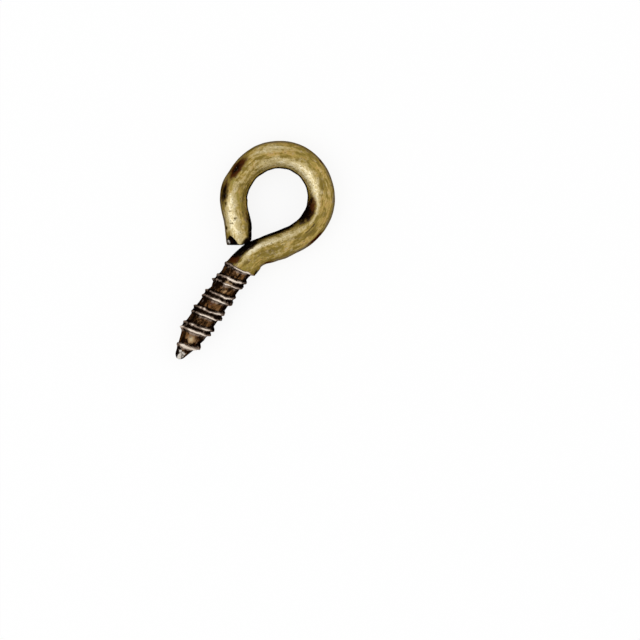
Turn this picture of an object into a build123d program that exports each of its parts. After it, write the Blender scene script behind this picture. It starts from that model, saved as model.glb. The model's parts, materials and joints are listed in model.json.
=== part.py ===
from build123d import *
import math
import os

# Screw eye: one length of wire, rolled with a wood-screw thread at one end and bent
# into a closed eye at the other.  It is a single piece of metal.
#
# It lies flat.  X runs from the eye to the point of the screw, Z is up, and the wire's
# centre line stays in one level plane.  The origin is under the middle of the screw eye,
# on the surface it lies on.  Millimetres and degrees.

# --- overall ---------------------------------------------------------------------------
WIRE_D = 2.0  # diameter of the wire
LENGTH = 17.8  # from the crown of the eye to the point
EYE_R = 3.07  # centre line of the eye

# --- leg and throat, along the centre line from the eye to the shank ----------------------
SHOULDER_R = 3.79  # wider arc by which the eye opens into its leg
LEG_ANGLE = 33.4  # lean of the leg to the shank
LEG_LENGTH = 2.66  # straight part of the leg
NOTCH_R = 1.07  # tight bend, nearly a corner on its inner side
NOTCH_TURN = 22.0
THROAT_LENGTH = 0.57  # straight part between the two bends of the throat
THROAT_R = 6.04  # slack bend that brings the wire onto the shank's axis
STUB_LENGTH = 0.5  # wire past that bend, before it is cut on the lead

# --- free side of the eye, along the centre line to the sheared end ------------------------
EYE_CLOSING = 2.8  # how far the eye's round goes past the half turn
SIDE_LENGTH = 0.62  # short straight on the side of the eye
FREE_R = 2.23  # arc that turns the wire back towards the leg
FREE_TURN = 44.3
FREE_LENGTH = 0.78  # straight part of the free leg
END_R = 10.0  # slack counter-bend by which the end follows the leg
END_TURN = 12.35
END_GAP = 0.05  # between the free end and the leg that it closes on
BEARING = 0.35  # how far along the notch of the leg the free end lies against it
CHIP_AHEAD = 0.5  # the chip's face looks ahead, outwards and up, in these shares
CHIP_OUTWARDS = 0.7
CHIP_UP = 0.5
CHIP_LEFT = 0.5  # metal left between that face and the middle of the end
SHEAR_EDGE = 0.06  # broken edge of the free end
CUTTER = 3.0  # size of the block that cuts the free end, over the wire's diameter

# --- rolled thread -------------------------------------------------------------------------
PITCH = 1.39  # one start, right hand
TURNS = 5.5
CORE_R = 0.935  # floor of the thread
CREST_R = 1.155  # top of the two lips
THREAD_BACK = 8.53  # from the point back to the first trace of the ridge
BLANK_BACK = 7.93  # from the point back to where the full wire ends
BLANK_LEAN = 13.0  # that end follows the lead of the thread
CORE_BACK = 8.2  # from the point back to where the core is lost in the wire
CORE_LEAD = 0.5  # length of the cone by which the core starts inside the wire
CORE_LEAD_R = 0.7

RIDGE_FOOT = 0.375  # half width of the ridge where it leaves the core
RIDGE_TOP = 0.27  # half width over both lips
SEAM_TOP = 0.20  # half width of the seam between the lips
SEAM_FLOOR = 0.04
SEAM_DEPTH = 0.10
ROOT_DEPTH = 0.30  # how far the ridge's section reaches into the core
RISE_TURNS = 0.75  # the ridge grows out of the wire over this many turns
RISE_SINK = 0.17  # and starts this far down
FALL_START = 5.0  # turns after which it sinks into the point
FALL_SINK = 0.34  # how far down it is at its end

# --- point -----------------------------------------------------------------------------------
POINT_LENGTH = 2.17  # from the point back to the full core
NOSE_LENGTH = 0.29
NOSE_R = 0.375  # radius of the cone where the nose begins
TIP_R = 0.08  # radius of the worn tip

# --- worked out from the above -----------------------------------------------------------------
wire_r = WIRE_D / 2
level = CREST_R  # height of the centre line
eye_x = -LENGTH / 2 + EYE_R + wire_r
point_x = LENGTH / 2
eye_plane = Plane(origin=(eye_x, 0, level))
ridge_height = CREST_R - CORE_R
ridge_root = RIDGE_FOOT + (RIDGE_FOOT - RIDGE_TOP) * ROOT_DEPTH / ridge_height
cone_slope = (CORE_R - NOSE_R) / (POINT_LENGTH - NOSE_LENGTH)
cone_start = (THREAD_BACK - POINT_LENGTH) / PITCH  # in turns, as below
fall_r = CORE_R - cone_slope * PITCH * (FALL_START - cone_start)
last_r = fall_r - cone_slope * PITCH * (TURNS - FALL_START) - FALL_SINK
ridge_stretches = [  # first and last turn, and the radius of the ridge's foot at each
    (RISE_TURNS, cone_start, CORE_R, CORE_R),
    (cone_start, FALL_START, CORE_R, fall_r),
    (FALL_START, TURNS, fall_r, last_r),
    (0, RISE_TURNS, CORE_R - RISE_SINK, CORE_R),
]


def thread_plane(turn, shank_y):
    """Plane across the shank after some turns of the thread, with its x to the ridge."""
    angle = math.radians(360 * turn)
    centre = (point_x - THREAD_BACK + PITCH * turn, shank_y, level)
    return Plane(origin=centre, x_dir=(0, math.cos(angle), math.sin(angle)), z_dir=(1, 0, 0))


def coil_from(across, turns, start_r, end_r):
    """Right-hand helix that starts on a plane across the shank, at its x."""
    length = PITCH * turns
    flare = math.degrees(math.atan((end_r - start_r) / length))
    return across.location * Helix(PITCH, length, start_r, cone_angle=flare)


with BuildPart() as screw_eye:
    # The round of the eye and its free leg, as one bent wire.
    with BuildLine(eye_plane) as hook:
        eye = CenterArc((0, 0), EYE_R, 90, 180 + EYE_CLOSING)
        side = Line(eye @ 1, eye @ 1 + (eye % 1) * SIDE_LENGTH)
        closing = JernArc(side @ 1, side % 1, FREE_R, FREE_TURN)
        free_leg = Line(closing @ 1, closing @ 1 + (closing % 1) * FREE_LENGTH)
        free_end = JernArc(free_leg @ 1, free_leg % 1, END_R, -END_TURN)
    with BuildSketch(Plane(origin=eye @ 0, z_dir=eye % 0)):
        Circle(wire_r)
    sweep()

    # Centre line of the other leg, which bends back onto the shank's axis.
    with BuildLine(eye_plane, mode=Mode.PRIVATE) as stem:
        shoulder = JernArc(eye @ 0, -(eye % 0), SHOULDER_R, -LEG_ANGLE)
        leg = Line(shoulder @ 1, shoulder @ 1 + (shoulder % 1) * LEG_LENGTH)
        notch = JernArc(leg @ 1, leg % 1, NOTCH_R, NOTCH_TURN)
        throat = Line(notch @ 1, notch @ 1 + (notch % 1) * THROAT_LENGTH)
        easing = JernArc(throat @ 1, throat % 1, THROAT_R, LEG_ANGLE - NOTCH_TURN)
        stub = Line(easing @ 1, easing @ 1 + (easing % 1) * STUB_LENGTH)
    shank_y = (stub @ 1).Y

    # The free end is sheared square, and its edge is broken.  It is flattened where it lies
    # against the leg, and the shear chipped off its outer upper corner.
    end_middle = free_end @ 1
    sheared_face = faces().filter_by(GeomType.PLANE).sort_by_distance(end_middle)[0]
    chamfer(sheared_face.edges(), SHEAR_EDGE)
    along_leg = notch % BEARING
    to_leg = Vector(-along_leg.Y, along_leg.X, 0)
    flat = Plane(origin=notch @ BEARING - to_leg * (wire_r + END_GAP), z_dir=to_leg)
    ahead = free_end % 1
    outwards = Vector(ahead.Y, -ahead.X, 0)
    chip_way = ahead * CHIP_AHEAD + outwards * CHIP_OUTWARDS + Vector(0, 0, CHIP_UP)
    chip = Plane(origin=end_middle + chip_way.normalized() * CHIP_LEFT, z_dir=chip_way)
    for cut in (flat, chip):
        with BuildSketch(cut):
            Rectangle(CUTTER, CUTTER)
        extrude(amount=wire_r, mode=Mode.SUBTRACT)

    # The leg, the throat and the last of the full wire, cut on the lead of the thread.
    with BuildSketch(Plane(origin=eye @ 0, z_dir=-(eye % 0))):
        Circle(wire_r)
    sweep(path=stem.line)
    blank_end = Plane(origin=(point_x - BLANK_BACK, shank_y, level), z_dir=(1, 0, 0))
    split(bisect_by=blank_end.rotated((0, 0, BLANK_LEAN)), keep=Keep.BOTTOM)

    # Core of the thread, with the cone of the point.
    with BuildSketch(Plane(origin=(point_x, shank_y, level))):
        with BuildLine():
            Polyline(
                (-CORE_BACK - CORE_LEAD, 0),
                (-CORE_BACK - CORE_LEAD, CORE_LEAD_R),
                (-CORE_BACK, CORE_R),
                (-POINT_LENGTH, CORE_R),
                (-NOSE_LENGTH, NOSE_R),
            )
            nose = Spline((-NOSE_LENGTH, NOSE_R), (0, TIP_R), tangents=((1, -0.3), (0.2, -1)))
            Polyline(nose @ 1, (0, 0), (-CORE_BACK - CORE_LEAD, 0))
        make_face()
    revolve(axis=Axis((0, shank_y, level), (1, 0, 0)))

    # Ridge of the thread: two lips rolled up on either side of a seam.  It runs along the
    # core, sinks into the cone of the point and, at its start, rises out of the wire.
    for start_turn, end_turn, start_r, end_r in ridge_stretches:
        across = thread_plane(start_turn, shank_y)
        coil = coil_from(across, end_turn - start_turn, start_r, end_r)
        with BuildSketch(Plane(origin=coil @ 0, x_dir=(1, 0, 0), z_dir=across.y_dir)):
            with BuildLine():
                half_section = Polyline(
                    (0, -ROOT_DEPTH),
                    (ridge_root, -ROOT_DEPTH),
                    (RIDGE_TOP, ridge_height),
                    (SEAM_TOP, ridge_height),
                    (SEAM_FLOOR, ridge_height - SEAM_DEPTH),
                    (0, ridge_height - SEAM_DEPTH),
                )
                mirror(half_section, about=Plane.YZ)
            make_face()
        sweep(path=coil, is_frenet=True)

screw_eye.part.label = "screw_eye"
os.makedirs("parts", exist_ok=True)
export_step(screw_eye.part, "parts/screw_eye.step")
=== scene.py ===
"""Small screw eye in antique brass, lying on a pale floor.

The part is one length of wire. One end is rolled with a wood-screw thread and a gimlet
point, and the rest is bent into a closed eye whose sheared end bears on its own leg.

Its skin is worked out as one surface over two numbers: s, the millimetres of wire back
from the point, and phi, the angle round the wire. phi is 0 on the outer side of the eye,
which is the +Y side of the shank, 90 degrees on top and 180 degrees on the inner side.
"""
import json
import logging
import math
from dataclasses import dataclass
from enum import Enum

import bpy
import numpy as np
from mathutils import Matrix, Vector


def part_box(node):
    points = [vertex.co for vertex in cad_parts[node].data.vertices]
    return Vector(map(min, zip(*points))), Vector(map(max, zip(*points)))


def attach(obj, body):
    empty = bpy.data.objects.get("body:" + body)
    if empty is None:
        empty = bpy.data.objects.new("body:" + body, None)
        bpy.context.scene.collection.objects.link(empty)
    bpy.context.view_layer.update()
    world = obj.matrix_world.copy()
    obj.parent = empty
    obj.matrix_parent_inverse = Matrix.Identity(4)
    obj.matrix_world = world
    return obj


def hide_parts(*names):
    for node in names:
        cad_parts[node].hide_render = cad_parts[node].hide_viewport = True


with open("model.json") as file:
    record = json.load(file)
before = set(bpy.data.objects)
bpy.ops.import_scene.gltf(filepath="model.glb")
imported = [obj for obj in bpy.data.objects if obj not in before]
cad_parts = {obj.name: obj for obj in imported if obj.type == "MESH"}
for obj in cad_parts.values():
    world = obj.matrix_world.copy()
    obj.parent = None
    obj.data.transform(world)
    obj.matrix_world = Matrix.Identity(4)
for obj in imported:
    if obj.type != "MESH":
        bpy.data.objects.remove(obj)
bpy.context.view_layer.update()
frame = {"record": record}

MM = 0.001
FULL_TURN = 2 * math.pi
NODE = "screw_eye"
BODY = "root"
SHANK_MOUNT = "threaded_shank"
WAVES = 28  # that one draw of unevenness is the sum of

log = logging.getLogger("screw_eye")


# ---------------------------------------------------------------------------------------
# Small sums that the classes share
# ---------------------------------------------------------------------------------------


def ease(x: np.ndarray, start: float, end: float) -> np.ndarray:
    """A smooth step: 0 up to start, 1 from end, and t * t * (3 - 2 * t) between them.

    Args:
        x: Where the step is read.
        start: The value at which it leaves 0.
        end: The value at which it reaches 1. It may be the smaller of the two.

    Returns:
        The step at each x.
    """
    t = np.clip((x - start) / (end - start), 0.0, 1.0)
    return t * t * (3.0 - 2.0 * t)


def hump(x: np.ndarray, half_width: float | np.ndarray) -> np.ndarray:
    """A bell: exp(-(x / half_width) ** 2).

    Args:
        x: Distance from the middle of the bell.
        half_width: Distance at which it has fallen to 0.37.

    Returns:
        The bell's height, 1 in its middle.
    """
    return np.exp(-np.square(x / half_width))


def along(s: np.ndarray, table: tuple[tuple[float, ...], ...], column: int) -> np.ndarray:
    """A quantity that changes along the wire, eased from one named place to the next.

    Args:
        s: Millimetres back from the point.
        table: Rows that start with s, in rising order.
        column: The column to read.

    Returns:
        The quantity at each s, with level tangents at the named places.
    """
    rows = np.array(table, float)
    at = np.clip(np.searchsorted(rows[:, 0], s, side="right") - 1, 0, len(rows) - 2)
    t = ease((s - rows[at, 0]) / (rows[at + 1, 0] - rows[at, 0]), 0.0, 1.0)
    return rows[at, column] * (1.0 - t) + rows[at + 1, column] * t


def ripple(s: np.ndarray, phi: np.ndarray, seed: int, period: float, laps: int) -> np.ndarray:
    """Seeded unevenness of a wire's skin: the sum of WAVES waves sin(k * s + m * phi + p).

    Args:
        s: Millimetres back from the point, or turns along the thread.
        phi: Angle round the wire, in radians.
        seed: Seed of the draw.
        period: Shortest wave along s. The longest is four times as long.
        laps: Most waves round the wire. They are whole, so the skin closes on itself.

    Returns:
        Unevenness with a spread of about 1.
    """
    draw = np.random.default_rng(seed)
    total = np.zeros(np.broadcast(s, phi).shape)
    for _ in range(WAVES):
        k = FULL_TURN / (period * (1.0 + 3.0 * draw.random()))
        m = draw.integers(-laps, laps + 1)
        total += np.sin(k * s + m * phi + FULL_TURN * draw.random())
    return total / math.sqrt(WAVES / 2)


# ---------------------------------------------------------------------------------------
# The wire's centre line and girth
# ---------------------------------------------------------------------------------------


@dataclass(frozen=True)
class Bend:
    """A stretch of wire of even curve.

    Attributes:
        length: Millimetres of wire in it.
        turn: Degrees by which it turns to the left on the way back from the point.
    """

    length: float
    turn: float = 0.0

    @classmethod
    def arc(cls, radius: float, turn: float) -> "Bend":
        """A bend on a circle, from its radius in millimetres and its turn in degrees."""
        return cls(radius * math.radians(abs(turn)), turn)


@dataclass
class WirePath:
    """Centre line of the wire in one level plane, walked back from the point.

    Attributes:
        tip: Where the point is along X, in millimetres.
        level: Height of the centre line.
        offset: How far the shank's axis lies to +Y of the eye's middle.
        bends: The stretches, from the point back to the sheared end.
        softness: Millimetres over which one curve goes over into the next.
        step: Millimetres between the places at which the walk is kept.
        margin: Millimetres by which the walk goes past both ends.
    """

    tip: float
    level: float
    offset: float = 0.592
    bends: tuple[Bend, ...] = (
        Bend(7.293),  # threaded shank
        Bend.arc(6.04, -11.4),  # slack bend off the shank's axis
        Bend(0.57),
        Bend.arc(1.07, -22.0),  # notch of the throat
        Bend(2.66),  # leg
        Bend.arc(3.79, 33.4),  # shoulder
        Bend.arc(3.07, 182.8),  # eye
        Bend(0.62),
        Bend.arc(2.23, 44.3),  # closing bend
        Bend(0.78),  # free leg
        Bend.arc(10.0, -12.35),  # end that follows the other leg
    )
    softness: float = 0.16
    step: float = 0.01
    margin: float = 0.5

    def __post_init__(self) -> None:
        """Walks the path. The heading is the sum of the curve, and the place that of the heading."""
        edges = np.cumsum([0.0] + [bend.length for bend in self.bends])
        self.length = float(edges[-1])
        s = np.arange(-self.margin, self.length + self.margin, self.step)
        curve = np.zeros_like(s)
        for bend, start in zip(self.bends, edges):
            curve[(s >= start) & (s < start + bend.length)] = math.radians(bend.turn) / bend.length
        died_away = 4 * self.softness
        reach = np.arange(-died_away, died_away + self.step, self.step)
        weight = hump(reach, self.softness)
        curve = np.convolve(np.pad(curve, len(reach) // 2, "edge"), weight / weight.sum(), "valid")
        curve = curve[: len(s)]
        heading = math.pi + np.cumsum(curve) * self.step
        x = np.cumsum(np.cos(heading)) * self.step
        y = np.cumsum(np.sin(heading)) * self.step
        first = int(np.argmin(np.abs(s)))
        self.walk = np.stack([s, x - x[first] + self.tip, y - y[first] + self.offset, heading])

    def place(self, s: np.ndarray, offset: np.ndarray, height: np.ndarray) -> np.ndarray:
        """Points beside the centre line: centre(s) + offset * side(s) + height * up.

        Args:
            s: Millimetres back from the point.
            offset: Millimetres to the outer side of the wire.
            height: Millimetres above the centre line.

        Returns:
            The points, in millimetres, with x, y and z last.
        """
        known, x, y, heading = self.walk
        h = np.interp(s, known, heading)
        return np.stack(
            [
                np.interp(s, known, x) + offset * np.sin(h),
                np.interp(s, known, y) - offset * np.cos(h),
                self.level + height,
            ],
            axis=-1,
        )


@dataclass
class WireGirth:
    """How the bending tools left the round wire: its outer and inner half widths.

    Attributes:
        radius: Half the wire's height, in millimetres.
        widths: s, outer half width and inner half width, in millimetres.
        dents: Depth of the broad unevenness of the skin, in millimetres.
        pits: Depth of the fine unevenness.
    """

    radius: float = 1.0
    widths: tuple[tuple[float, float, float], ...] = (
        (0.0, 1.12, 0.88),
        (0.9, 1.11, 0.89),
        (2.4, 1.00, 1.00),
        (7.0, 1.00, 1.00),
        (8.0, 1.02, 0.99),
        (8.5, 1.17, 0.98),
        (8.8, 1.15, 0.98),
        (9.3, 1.08, 0.98),
        (9.85, 0.98, 0.97),
        (10.6, 1.07, 0.965),
        (11.4, 1.12, 0.965),
        (12.4, 1.06, 0.955),
        (13.6, 1.06, 0.925),
        (15.2, 1.065, 0.94),
        (17.0, 1.005, 0.945),
        (18.2, 1.025, 0.955),
        (19.6, 1.04, 0.975),
        (21.2, 0.975, 1.02),
        (22.8, 0.955, 1.06),
        (24.1, 0.90, 1.00),
        (25.4, 0.945, 1.06),
        (26.2, 0.95, 1.055),
        (26.9, 0.95, 0.97),
        (28.2, 0.94, 1.02),
        (28.8, 0.94, 0.95),
        (29.4, 0.92, 0.93),
    )
    dents: float = 0.007
    pits: float = 0.0022

    def skin(self, s: np.ndarray, phi: np.ndarray) -> tuple[np.ndarray, np.ndarray]:
        """The wire's section: an oval of its half widths and its height, moved to lie between them.

        Args:
            s: Millimetres back from the point.
            phi: Angle round the wire.

        Returns:
            The section's radius and its middle's distance to the outer side, in millimetres.
        """
        outer, inner = along(s, self.widths, 1), along(s, self.widths, 2)
        half = (outer + inner) / 2
        radius = np.hypot(half * np.cos(phi), self.radius * np.sin(phi))
        return radius, (outer - inner) / 2

    def unevenness(self, s: np.ndarray, phi: np.ndarray) -> np.ndarray:
        """Broad dents and fine pits of a tumbled wire, in millimetres."""
        broad = ripple(s, phi, seed=11, period=1.1, laps=3)
        fine = ripple(s, phi, seed=12, period=0.24, laps=17)
        return self.dents * broad + self.pits * fine


# ---------------------------------------------------------------------------------------
# Thread and point
# ---------------------------------------------------------------------------------------


class Lip(Enum):
    """The two lips that the rolling dies push up beside a seam, by their side of it."""

    UPPER = -1
    LOWER = 1

    @property
    def column(self) -> int:
        """The lip's column in the thread's tables."""
        return 1 if self is Lip.LOWER else 2


@dataclass
class GimletPoint:
    """The cone that the thread runs out on, with a blunt nose and a flat worn on its top.

    Attributes:
        length: Millimetres from the point to the full core.
        nose: Length of the blunt end.
        nose_radius: Radius of the cone where the nose begins, in millimetres.
        round_over: Length in which the end rounds over to nothing.
        flat_from: Where the flat on the nose ends, in millimetres back from the point.
        flat_height: Its height over the axis at the very point.
        flat_rise: Gain of that height for each millimetre back.
        flat_side: Angle round the wire at which the flat faces.
        flat_edge: Least cosine of the angle from there at which the flat still cuts.
        bared_across: Cosines of that angle between which the flat's metal turns bare.
        bared_along: Millimetres back from the point between which it turns bare.
    """

    length: float = 2.17
    nose: float = 0.29
    nose_radius: float = 0.36
    round_over: float = 0.30
    flat_from: float = 0.9
    flat_height: float = 0.13
    flat_rise: float = 0.36
    flat_side: float = math.radians(78.0)
    flat_edge: float = 0.05
    bared_across: tuple[float, float] = (0.48, 0.90)
    bared_along: tuple[float, float] = (1.02, 0.52)

    def radius(self, s: np.ndarray, core: float) -> np.ndarray:
        """Radius of the cone and its nose, up to that of the full core, in millimetres."""
        slope = (core - self.nose_radius) / (self.length - self.nose)
        cone = np.minimum(self.nose_radius + slope * (s - self.nose), core)
        t = np.clip(s / self.round_over, 0.0, 1.0)
        return cone * np.sqrt(np.maximum(1.0 - np.square(1.0 - t), 0.0))

    def bared(self, s: np.ndarray, phi: np.ndarray) -> np.ndarray:
        """How bare the worn metal of the flat is, from 0 to 1."""
        return ease(np.cos(phi - self.flat_side), *self.bared_across) * ease(s, *self.bared_along)

    def flatten(self, radius: np.ndarray, s: np.ndarray, phi: np.ndarray) -> np.ndarray:
        """Cuts the nose's top by a sloping flat: radius * cos(phi - side) <= height(s)."""
        height = self.flat_height + self.flat_rise * s
        facing = np.maximum(np.cos(phi - self.flat_side), self.flat_edge)
        return np.where(s < self.flat_from, np.minimum(radius, height / facing), radius)


@dataclass(frozen=True)
class LipRubbingAndGlint:
    """How bright the thread's lips are, from 0 to a little over 1: wear with a painted glint.

    Attributes:
        places: Turn, and how bright the lower and the upper lip are there, wear with a painted glint.
        waver: Shortest wave of the brightness in turns, and its share of it.
        upper: Share that the upper lip gets, and merged: the one lip on the cone.
        shade_outer: Painted shade: the share that is lost on the shank's outer side, and the
            values of cos(phi) between which it is lost.
        shade_inner: The same painted shade on the inner side.
        limits: Least and greatest brightness.
        low: Height from which a lip gets the whole of it, in millimetres.
        skirt: How it fades down the lower lip's flank: strength, and millimetres from the lip
            and to either side of there.
    """

    places: tuple[tuple[float, float, float], ...] = (
        (0.11, 0.90, 1.00),
        (0.17, 0.70, 1.00),
        (0.25, 1.05, 1.00),
        (0.33, 1.00, 1.00),
        (0.39, 0.40, 0.70),
        (1.11, 0.85, 1.30),
        (1.17, 0.70, 0.85),
        (1.22, 1.00, 1.00),
        (1.26, 0.80, 0.75),
        (1.33, 0.55, 1.00),
        (1.39, 0.60, 0.90),
        (2.11, 0.45, 1.00),
        (2.17, 1.00, 0.90),
        (2.25, 1.10, 0.72),
        (2.33, 0.65, 0.90),
        (2.39, 0.80, 0.60),
        (3.11, 0.55, 1.20),
        (3.17, 0.85, 1.10),
        (3.22, 1.20, 0.85),
        (3.25, 1.30, 0.50),
        (3.28, 1.40, 0.90),
        (3.33, 0.60, 1.50),
        (3.39, 0.55, 0.40),
        (4.11, 1.30, 0.90),
        (4.17, 1.10, 0.90),
        (4.25, 1.00, 0.65),
        (4.28, 1.00, 0.35),
        (4.33, 0.75, 1.60),
        (4.39, 1.50, 0.90),
        (5.11, 0.90, 0.90),
        (5.25, 1.10, 1.10),
        (5.33, 0.90, 0.90),
        (5.39, 0.60, 0.60),
    )
    waver: tuple[float, float] = (0.12, 0.25)
    upper: float = 0.90
    merged: float = 1.3
    shade_outer: tuple[float, float, float] = (0.7, 0.55, 0.98)
    shade_inner: tuple[float, float, float] = (0.5, -0.1, -0.6)
    limits: tuple[float, float] = (0.15, 1.2)
    low: float = 0.07
    skirt: tuple[float, float, float] = (0.34, 0.17, 0.12)

    def crest(self, turn: np.ndarray, phi: np.ndarray, apart: np.ndarray, lip: Lip) -> np.ndarray:
        """How bright a lip's crest is, wear with a painted glint: dimmed by painted shade at the shank's
        sides, brighter where it has merged.

        Args:
            turn: Turns along the ridge.
            phi: Angle round the wire.
            apart: 1 where the lips are two, and 0 where they have merged.
            lip: Which of the two lips.

        Returns:
            The brightness.
        """
        period, share = self.waver
        rubbing_and_glint = 1.0 + share * ripple(turn, np.zeros_like(turn), 40 + lip.value, period, laps=1)
        # Painted shade dims the lips on the shank's outer and inner sides.
        for loss, start, end in (self.shade_outer, self.shade_inner):
            rubbing_and_glint = rubbing_and_glint * (1.0 - loss * ease(np.cos(phi), start, end))
        if lip is Lip.UPPER:
            rubbing_and_glint = rubbing_and_glint * self.upper
        rubbing_and_glint = rubbing_and_glint * (1.0 + (self.merged - 1.0) * (1.0 - apart))
        return np.clip(rubbing_and_glint * along(turn, self.places, lip.column), *self.limits)

    def flank(self, beside: np.ndarray, lip: Lip) -> np.ndarray:
        """The share of its crest's brightness, wear with a painted glint, that a lip's flank gets.

        Args:
            beside: Millimetres from the lip towards the point.
            lip: Which of the two lips.

        Returns:
            The share, which is nothing beside the upper lip.
        """
        strength, middle, half = self.skirt
        return (strength if lip is Lip.LOWER else 0.0) * hump(beside - middle, half)


@dataclass
class RolledThread:
    """Wood-screw thread rolled into the wire: a ridge whose crest is two lips and a seam.

    The ridge is counted in turns from its first trace, at turn = n + phi / 360 degrees. Its
    middle is at s = start - pitch * turn - swing * sin(phi), and it is right-handed.

    Attributes:
        start: Where the ridge begins, in millimetres back from the point.
        pitch: Millimetres from turn to turn.
        swing: How far the ridge swings to the point on top, and back underneath.
        core: Radius of the valley's floor.
        land: Half width of the ridge's top, and foot: half width at the valley's floor.
        lip_offset: From the ridge's middle to each lip, and merged_offset: to the merged lip.
        lip_width: Half width of a lip, and merged_wider: by what share the merged lip is wider.
        crests: Turn, and how far the lower and the upper lip stand over the land there.
        opening: Turns between which the valley opens out of the full wire.
        rising: Turns between which the lower lip rises.
        merging: Turns between which the two lips close up to one on the cone.
        ending: Turns between which the ridge dies away.
        narrowed: Share of the ridge's width that is left where the lips have merged.
        waver: Shortest wave of the lips' slow and of their quick unevenness, in turns.
        wander: How far the slow and the quick one move the lips along the shank.
        crumbs: By what share they change the lips' height, and crumb_range: its limits.
        breaks: Broken places of a lip, as turn, lip, half length in turns and loss.
        rubbing_and_glint: How bright the lips are: wear with a painted glint.
        seam_past: How far the dark of the seam reaches past the ridge's foot.
        seam_rubbed: Share of that dark that a bright lip loses.
        gouges: Deep places in the valley, as s, phi, half length, half angle and depth.
    """

    start: float = 8.49
    pitch: float = 1.385
    swing: float = 0.10
    core: float = 0.945
    land: float = 0.25
    foot: float = 0.37
    lip_offset: float = 0.22
    merged_offset: float = 0.07
    lip_width: float = 0.10
    merged_wider: float = 0.32
    crests: tuple[tuple[float, float, float], ...] = (
        (0.00, 0.11, 0.00),
        (0.50, 0.10, 0.05),
        (1.00, 0.11, 0.10),
        (1.50, 0.13, 0.07),
        (2.00, 0.16, 0.09),
        (2.50, 0.11, 0.10),
        (3.00, 0.19, 0.12),
        (3.50, 0.06, 0.10),
        (4.00, 0.14, 0.14),
        (4.50, 0.12, 0.10),
        (5.00, 0.24, 0.10),
        (5.60, 0.08, 0.04),
    )
    opening: tuple[float, float] = (-0.45, -0.06)
    rising: tuple[float, float] = (-0.10, 0.06)
    merging: tuple[float, float] = (4.55, 4.92)
    ending: tuple[float, float] = (5.42, 5.66)
    narrowed: float = 0.3
    waver: tuple[float, float] = (0.16, 0.05)
    wander: tuple[float, float] = (0.0208, 0.0091)
    crumbs: tuple[float, float] = (0.16, 0.096)
    crumb_range: tuple[float, float] = (0.4, 1.5)
    breaks: tuple[tuple[float, Lip, float, float], ...] = (
        (1.30, Lip.LOWER, 0.05, 0.7),
        (1.42, Lip.LOWER, 0.03, 0.5),
        (2.46, Lip.LOWER, 0.06, 0.6),
        (3.33, Lip.UPPER, 0.03, 0.6),
        (3.46, Lip.LOWER, 0.04, 0.4),
        (4.36, Lip.UPPER, 0.09, 0.7),
        (1.78, Lip.UPPER, 0.06, 0.6),
        (2.71, Lip.LOWER, 0.05, 0.7),
        (3.80, Lip.UPPER, 0.08, 0.6),
    )
    rubbing_and_glint: LipRubbingAndGlint = LipRubbingAndGlint()
    seam_past: float = 0.14
    seam_rubbed: float = 0.8
    gouges: tuple[tuple[float, float, float, float, float], ...] = (
        (5.68, math.radians(180), 0.17, 0.45, 0.10),
        (7.05, math.radians(184), 0.20, 0.40, 0.05),
        (4.95, math.radians(290), 0.20, 0.50, 0.05),
        (2.05, math.radians(250), 0.25, 0.60, 0.04),
    )

    def apart(self, turn: np.ndarray) -> np.ndarray:
        """1 where the lips are two, and 0 where they have merged."""
        return 1.0 - ease(turn, *self.merging)

    def lip_line(self, turn: np.ndarray, lip: Lip) -> tuple[np.ndarray, np.ndarray]:
        """Where a lip lies beside the ridge's middle, and how high it stands.

        Args:
            turn: Turns along the ridge.
            lip: Which of the two lips.

        Returns:
            Its offset towards the point and its height over the land, in millimetres.
        """
        slow, quick = (
            ripple(turn, np.zeros_like(turn), seed + lip.value, period, laps=1)
            for seed, period in ((30, self.waver[0]), (35, self.waver[1]))
        )
        apart = self.apart(turn)
        offset = lip.value * self.lip_offset * apart + self.merged_offset * (1.0 - apart)
        offset = offset + self.wander[0] * slow + self.wander[1] * quick
        height = along(turn, self.crests, lip.column)
        crumbled = 1.0 + self.crumbs[0] * slow + self.crumbs[1] * quick
        height = height * np.clip(crumbled, *self.crumb_range)
        for place, which, half, loss in self.breaks:
            if which is lip:
                height = height * (1.0 - loss * hump(turn - place, half))
        return offset, height

    def hollows(self, s: np.ndarray, phi: np.ndarray) -> np.ndarray:
        """Depth of the deepest gouge at each place, in millimetres."""
        depths = [np.zeros(np.broadcast(s, phi).shape)]
        for place, middle, half_length, half_angle, depth in self.gouges:
            round_to = np.abs((phi - middle + math.pi) % FULL_TURN - math.pi)
            depths.append(depth * hump(s - place, half_length) * hump(round_to, half_angle))
        return np.maximum.reduce(depths)

    def relief(
        self, s: np.ndarray, phi: np.ndarray, blank: np.ndarray, cone: np.ndarray
    ) -> dict[str, np.ndarray]:
        """The threaded skin.

        With q = (start - swing * sin(phi) - s) / pitch - phi / 360 degrees, the nearest ridge is
        n = round(q), and d = (q - n) * pitch is the distance from its middle to the point.
        The floor is the core, the land stands on it for |d| < land, and each lip is a bell
        on the land.

        Args:
            s: Millimetres back from the point.
            phi: Angle round the wire, from 0 up to a full turn.
            blank: Radius of the wire before it was rolled.
            cone: Radius of the core, which is that of the cone near the point.

        Returns:
            radius in millimetres, and how far each place of the skin is part of a bright lip,
            which is wear with a painted glint, of the valley and of the seam. These masks go from 0
            to 1, and a lip's a little over.
        """
        q = (self.start - self.swing * np.sin(phi) - s) / self.pitch - phi / FULL_TURN
        nearest = np.floor(q + 0.5)
        d = (q - nearest) * self.pitch
        turn = nearest + phi / FULL_TURN
        open_lower, open_upper = ease(turn, *self.opening), ease(turn - 1.0, *self.opening)
        opened = np.where(d > 0, open_lower, open_upper)
        present = 1.0 - ease(turn, *self.ending)
        apart = self.apart(turn)
        narrow = self.narrowed + (1.0 - self.narrowed) * apart
        land = 1.0 - ease(np.abs(d), self.land * narrow, self.foot * narrow)
        standing = (1.0 - opened * (1.0 - land)) * present

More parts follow.
